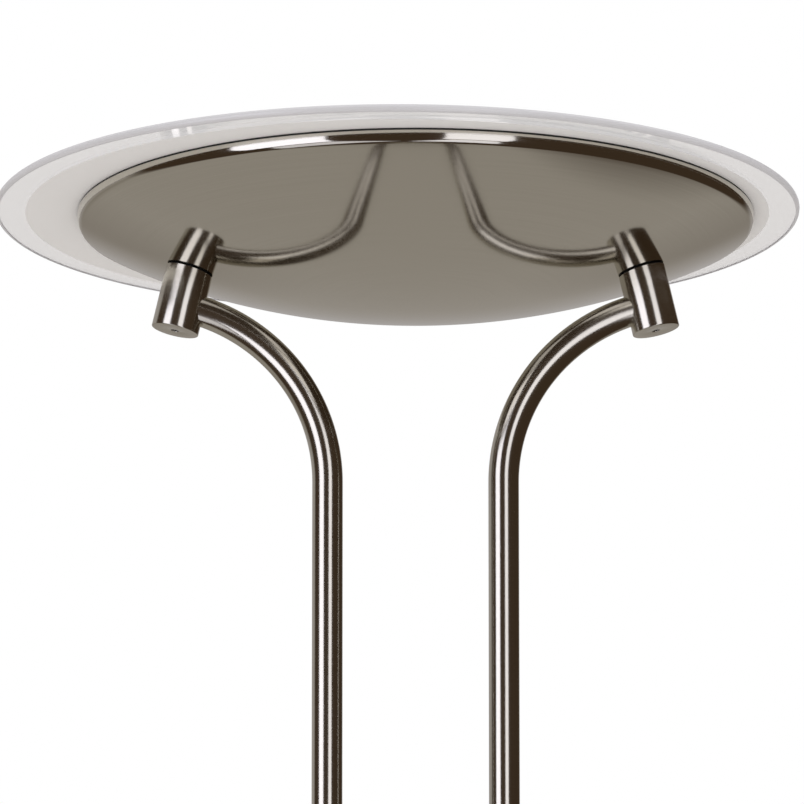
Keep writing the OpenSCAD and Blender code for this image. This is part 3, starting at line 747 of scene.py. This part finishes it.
knobLow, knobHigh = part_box("dimmer_knob")
knob = {
    "radius": (knobHigh.x - knobLow.x) / 2,
    "height": knobHigh.y - knobLow.y,
    "ridges": 48,
    "ridgeDepth": 0.45 * mm,
    "ridgeFrom": 2.2 * mm,
    "ridgeBelowCrown": 1.2 * mm,
    "crown": 1.5 * mm,
    "backRound": 0.5 * mm,
    "backHollow": (7 * mm, 0.2 * mm),      # radius and depth
    "pointer": (6 * mm, 1 * mm, 1.4 * mm),
    "pointerFromEdge": 4.5 * mm,
}


def makeKnob():
    middle = (knobLow + knobHigh) / 2
    r, h, c, small = knob["radius"], knob["height"], knob["crown"], knob["backRound"]
    hollow, deep = knob["backHollow"]
    low, high = knob["ridgeFrom"], h - c - knob["ridgeBelowCrown"]
    outline = [(0, deep), (hollow, deep), (hollow, 0)]
    outline += arc((r - small, small), small, -90, 0, 4)
    outline += [(r, low), (r, high)] + arc((r - c, h - c), c, 0, 90, 8)
    outline += [(r - 3 * mm, h - 0.15 * mm), (0, h - 0.35 * mm)]     # dished face
    body = turnOutline("knob_cap", outline, 2 * knob["ridges"])
    # every other strip of the side is pressed in, which leaves the ridges
    editMode(body)
    bpy.ops.mesh.select_mode(type="FACE")
    objectMode()
    for face in body.data.polygons:
        turn = math.atan2(face.center.y, face.center.x) / (2 * math.pi) % 1
        upright = low < face.center.z < high and abs(face.normal.z) < 0.1
        face.select = upright and math.floor(turn * 2 * knob["ridges"]) % 2 == 0
    bpy.ops.object.mode_set(mode="EDIT")
    bpy.ops.mesh.extrude_region_shrink_fatten(TRANSFORM_OT_shrink_fatten={"value": -knob["ridgeDepth"]})
    bpy.ops.mesh.select_mode(type="VERT")
    objectMode()
    closeUp(body)
    # the pointer is a shallow groove in the face, at the lower left when the lamp is off
    deselectAll()
    bpy.ops.mesh.primitive_cube_add(size=1)
    slot = bpy.context.object
    placePiece(slot, Matrix.Rotation(math.radians(225), 4, "Z") @
               Matrix.Translation((r - knob["pointerFromEdge"], 0, h)) @
               Matrix.Diagonal((*knob["pointer"], 1)))
    cutWith(body, slot)
    placePiece(body, Matrix.Translation((middle.x, knobHigh.y, middle.z)) @
               Matrix.Rotation(math.pi / 2, 4, "X"))
    unrollAround(body, middle, (0, -1, 0), (1, 0, 0))
    smoothBy(body, 35)
    handOver(body, "knob", "nickel", finish["turnedNickel"], "dimmer_knob")


makeHousingHalf("housing_front", "dimmer_shell_front", True)
makeHousingHalf("housing_rear", "dimmer_shell_rear", False)
makeKnob()
print("dimmer made")


coverLow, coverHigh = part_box("base_cover")
base = {
    "radius": coverHigh.x,
    "top": coverHigh.z,
    "low": coverLow.z,
    "shoulder": 8 * mm,
    "support": 0.5 * mm,          # keeps the top flat up to the shoulder
    "lowRound": 0.3 * mm,
    "sheet": 1.2 * mm,
    "cordHole": 6.1 * mm,         # radius
    "cordZ": 12 * mm,
    "steps": 256,
}


def makeBaseCover():
    r, top, s, t, small = base["radius"], base["top"], base["shoulder"], base["sheet"], base["lowRound"]
    outline = [(0, top), (40 * mm, top), (90 * mm, top), (r - s - base["support"], top)]
    outline += arc((r - s, top - s), s, 90, 0, 14)
    outline += arc((r - small, base["low"] + small), small, 0, -90, 3)
    outline += [(r - t, base["low"])]
    outline += arc((r - s, top - s), s - t, 0, 90, 8) + [(0, top - t)]
    cover = turnOutline("base_lid", outline, base["steps"])
    cutWith(cover, rod(base["cordHole"], (0, r - 8 * mm, base["cordZ"]), (0, r + 4 * mm, base["cordZ"])))
    closeUp(cover)
    unrollAround(cover)
    smoothBy(cover, 30)
    handOver(cover, "stand", "nickel", finish["baseNickel"], "base_cover")


collarShape = {
    "gap": 0.1 * mm,
    "topRound": 2 * mm,
    "innerRound": 0.6 * mm,
    "lowRound": 0.4 * mm,
}


def makeCollars():
    low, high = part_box("pole_collars")
    top, inside, small = collarShape["topRound"], collarShape["innerRound"], collarShape["lowRound"]
    collars = []
    for x in (-tube["x"], tube["x"]):
        inner, outer = tube["radius"] + collarShape["gap"], high.x - tube["x"]
        outline = [(inner, low.z), (outer - small / 2, low.z)]
        outline += arc((outer - small, low.z + 1.5 * small), small, -45, 0, 3)
        outline += arc((outer - top, high.z - top), top, 0, 90, 8)
        outline += arc((inner + inside, high.z - inside), inside, 90, 180, 4) + [(inner, low.z)]
        collar = turnOutline("collar", outline, 96)
        placePiece(collar, Matrix.Translation((x, 0, 0)))
        unrollAround(collar, (x, 0, 0))
        smoothBy(collar, 35)
        collars.append(collar)
    handOver(joinPieces(collars, "tube_collars"), "stand", "nickel", finish["turnedNickel"], "pole_collars")


makeBaseCover()
makeCollars()
print("base made")


def drawWire(name, points, radius, resolution=8, sides=4):
    # a smooth curve through the points, given a round section and made a mesh
    curve = bpy.data.curves.new(name, "CURVE")
    curve.dimensions = "3D"
    spline = curve.splines.new("NURBS")
    spline.points.add(len(points) - 1)
    for spot, point in zip(spline.points, points):
        spot.co = (*point, 1)
    spline.use_endpoint_u = True
    spline.order_u = 3
    curve.resolution_u = resolution
    curve.bevel_depth = radius
    curve.bevel_resolution = sides
    curve.use_fill_caps = True
    wire = bpy.data.objects.new(name, curve)
    bpy.context.scene.collection.objects.link(wire)
    selectOnly(wire)
    bpy.ops.object.convert(target="MESH")
    wire = newPiece(name)
    closeUp(wire)
    smoothBy(wire, 50)
    return wire


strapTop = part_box("lamp_strap")[0].z + 2 * mm
leads = {
    "radius": 1.1 * mm,
    # millimetres from the middle of the strap, from the terminal block round to the lamp holder
    "route": [(-11, 42, 5), (-11, 41, 5), (-13, 36, 6), (-24, 31, 10), (-50, 28, 14), (-76, 21, 16),
              (-85, 10, 16), (-86, 2, 16), (-82, 0, 16), (-79.1, 0, 16)],
}


def makeLeads():
    both = [drawWire("lead", [(-s * x * mm, y * mm, strapTop + z * mm) for x, y, z in leads["route"]],
                     leads["radius"]) for s in (-1, 1)]
    handOver(joinPieces(both, "braided_leads"), "stand", "lead_sleeve", finish["sleeve"], "head_leads")


filament = {
    "coil": 0.7 * mm,
    "wire": 0.18 * mm,
    "turns": 70,
    "pointsInTurn": 10,
    "hooks": 6,                   # rings that carry the coil in its tube
    "hookRadius": 3.6 * mm,
    "hookWire": 0.15 * mm,
}


def makeFilament():
    low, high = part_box("lamp_filament")
    z, perTurn = (low.z + high.z) / 2, filament["pointsInTurn"]
    steps = perTurn * filament["turns"]
    points = [(low.x + (high.x - low.x) * i / steps, filament["coil"] * math.cos(2 * math.pi * i / perTurn),
               z + filament["coil"] * math.sin(2 * math.pi * i / perTurn)) for i in range(steps + 1)]
    parts = [drawWire("coil", points, filament["wire"], 1, 1)]
    for k in range(filament["hooks"]):
        deselectAll()
        x = low.x + (high.x - low.x) * (k + 0.5) / filament["hooks"]
        bpy.ops.mesh.primitive_torus_add(major_radius=filament["hookRadius"], major_segments=32,
                                         minor_radius=filament["hookWire"], minor_segments=6)
        ring = bpy.context.object
        placePiece(ring, Matrix.Translation((x, 0, z)) @ Matrix.Rotation(math.pi / 2, 4, "Y"))
        parts.append(ring)
    coil = joinPieces(parts, "coiled_filament")
    smoothBy(coil, 60)
    handOver(coil, "stand", "tungsten", finish["tungsten"], "lamp_filament")


makeLeads()
makeFilament()
print("wires made")


# pieces that keep the shape they came with, by finish
carried = {
    "brass": ["head_nipples", "head_nuts", "terminal_screws", "earth_screw", "base_nipples", "base_nuts"],
    "zinc": ["head_washers", "lamp_strap", "holder_screws", "upper_couplers", "lower_couplers", "dimmer_pot",
             "dimmer_nut", "pole_plugs", "base_washers", "base_plate", "plate_screws"],
    "aluminium": ["heat_shield", "shield_rivets"],
    "ceramic": ["lamp_holder_left", "lamp_holder_right", "holder_cap", "lamp_ends"],
    "copper": ["fixed_contact", "sprung_contact"],
    "springSteel": ["contact_spring", "dimmer_shaft"],
    "quartz": ["lamp_tube"],
    "polyamide": ["terminal_block"],
    "cable": ["lamp_cable", "supply_cable"],
    "blackSteel": ["barrel_screws", "dimmer_screws"],
    "circuitBoard": ["dimmer_board"],
    "windings": ["dimmer_choke"],
    "blackPlastic": ["dimmer_triac", "cord_bushing"],
    "film": ["dimmer_capacitor"],
    "castIron": ["base_weight"],
    "felt": ["foot_pad"],
}
for key, names in carried.items():
    for name in names:
        nodes[name].data.materials.clear()
        nodes[name].data.materials.append(finish[key])
print("carried pieces finished")


stage = {
    "floorSize": 60,
    "floorPatch": 1 / 3,          # metres
    "floorColors": ("E6E4E0", "EAE8E5"),
    "skyBehind": "A5A09A",        # straight behind the lamp, below the horizon
    "skyBeside": "938D86",        # to the sides of that
    "besideFrom": (0.08, 0.2),    # sideways part of the level direction: starts, full
    "besideHeight": (-0.45, -0.2),         # upward part of the direction: starts, full
    "lean": (-0.4, 1, 0),         # the light wall behind reaches further round on the left
    # laid over that one after another: colour, measure of the direction, where it starts, where it is full
    "skyLayers": [
        ("AEAAA8", "height", -0.15, 0.1),       # above the horizon
        ("43362A", "lean", 0.78, 0.6),          # the dark room towards the camera
        ("43362A", "height", -0.91, -0.985),    # straight below
        ("D8D8D8", "height", 0.45, 0.75),       # above
    ],
}


def makeFloor():
    deselectAll()
    bpy.ops.mesh.primitive_plane_add(size=stage["floorSize"], location=(0, 0, floorZ))
    floor = newPiece("floor")
    bpy.ops.object.transform_apply(location=True, rotation=True, scale=True)
    material, tree, shader = newMaterial("pale matt floor", {"Roughness": 0.8})
    driveShader(tree, shader, objectPattern(tree, stage["floorPatch"]), colors=stage["floorColors"])
    floor.data.materials.append(material)
    floor.visible_glossy = False         # the metal sees the sky's dark ground instead
    floor.visible_transmission = False


def makeSky():
    world = bpy.data.worlds.new("studio")
    bpy.context.scene.world = world
    world.use_nodes = True
    tree = world.node_tree
    tree.nodes.clear()
    way = addNode(tree, "ShaderNodeTexCoord").outputs["Generated"]
    parts = addNode(tree, "ShaderNodeSeparateXYZ", {}, {"Vector": way}).outputs
    flat = addNode(tree, "ShaderNodeCombineXYZ", {}, {"X": parts["X"], "Y": parts["Y"]})
    level = addNode(tree, "ShaderNodeVectorMath", {}, {0: flat.outputs["Vector"]},
                    operation="NORMALIZE").outputs["Vector"]
    lean = addNode(tree, "ShaderNodeVectorMath", {1: stage["lean"]}, {0: level}, operation="DOT_PRODUCT")
    sideways = addNode(tree, "ShaderNodeMath", {}, {
        0: addNode(tree, "ShaderNodeSeparateXYZ", {}, {"Vector": level}).outputs["X"]}, operation="ABSOLUTE")
    shares = [addNode(tree, "ShaderNodeMapRange", {"From Min": start, "From Max": full},
                      {"Value": source}).outputs["Result"]
              for source, (start, full) in ((sideways.outputs[0], stage["besideFrom"]),
                                            (parts["Z"], stage["besideHeight"]))]
    beside = addNode(tree, "ShaderNodeMath", {}, {0: shares[0], 1: shares[1]}, operation="MULTIPLY")
    room = addNode(tree, "ShaderNodeMix", {6: hexColor(stage["skyBehind"]), 7: hexColor(stage["skyBeside"])},
                   {0: beside.outputs[0]}, data_type="RGBA")
    measures = {"height": parts["Z"], "lean": lean.outputs["Value"]}
    for color, measure, start, full in stage["skyLayers"]:
        share = addNode(tree, "ShaderNodeMapRange", {"From Min": start, "From Max": full},
                        {"Value": measures[measure]})
        room = addNode(tree, "ShaderNodeMix", {7: hexColor(color)},
                       {0: share.outputs["Result"], 6: room.outputs[2]}, data_type="RGBA")
    # reflections see the room; the camera, diffuse light and what shows through glass see plain white
    seen = addNode(tree, "ShaderNodeLightPath").outputs
    through = addNode(tree, "ShaderNodeMath", {}, {0: seen["Is Transmission Ray"], 1: seen["Glossy Depth"]},
                      operation="SUBTRACT")
    direct = addNode(tree, "ShaderNodeMath", {}, {0: seen["Is Camera Ray"], 1: seen["Is Diffuse Ray"]},
                     operation="MAXIMUM")
    plain = addNode(tree, "ShaderNodeMath", {}, {0: direct.outputs[0], 1: through.outputs[0]},
                    operation="MAXIMUM")
    metal = addNode(tree, "ShaderNodeBackground", {"Strength": 1.0}, {"Color": room.outputs[2]})
    white = addNode(tree, "ShaderNodeBackground", {"Color": (1, 1, 1, 1), "Strength": 1.0})
    mix = addNode(tree, "ShaderNodeMixShader", {},
                  {0: plain.outputs[0], 1: metal.outputs[0], 2: white.outputs[0]})
    addNode(tree, "ShaderNodeOutputWorld", {}, {"Surface": mix.outputs[0]})


lamps = [
    # name, (azimuth from the front, tilt from facing down), (distance, height), (width, depth),
    # brightness, colour; degrees and metres
    ("softbox left", (-45.5, 90), (2.4, 1.425), (1.42, 2.55), 1.87, "EFF0FF"),
    ("softbox right", (20.75, 90), (2.4, 1.425), (0.95, 2.55), 1.41, "F5F5FF"),
    ("board left", (-42, 180), (1.4, 0.1), (0.95, 1.4), 0.85, "F4F4FF"),
    ("board right", (22, 180), (1.4, 0.1), (0.65, 1.5), 1.15, "F4F4FF"),
]


def makeLamps():
    for name, (azimuth, tilt), (distance, height), (width, depth), brightness, color in lamps:
        light = bpy.data.lights.new(name, "AREA")
        light.shape = "RECTANGLE"
        light.size, light.size_y = width, depth
        light.energy = brightness * math.pi * width * depth
        light.color = hexColor(color)[:3]
        lamp = bpy.data.objects.new(name, light)
        turn = math.radians(azimuth)
        lamp.location = (distance * math.sin(turn), -distance * math.cos(turn), floorZ + height)
        lamp.rotation_euler = (math.radians(tilt), 0, turn)
        lamp.visible_camera = False
        lamp.visible_diffuse = False     # the sky lights the floor, evenly
        bpy.context.scene.collection.objects.link(lamp)


makeFloor()
makeSky()
makeLamps()
bpy.context.scene.view_settings.view_transform = "Standard"
print("stage made")
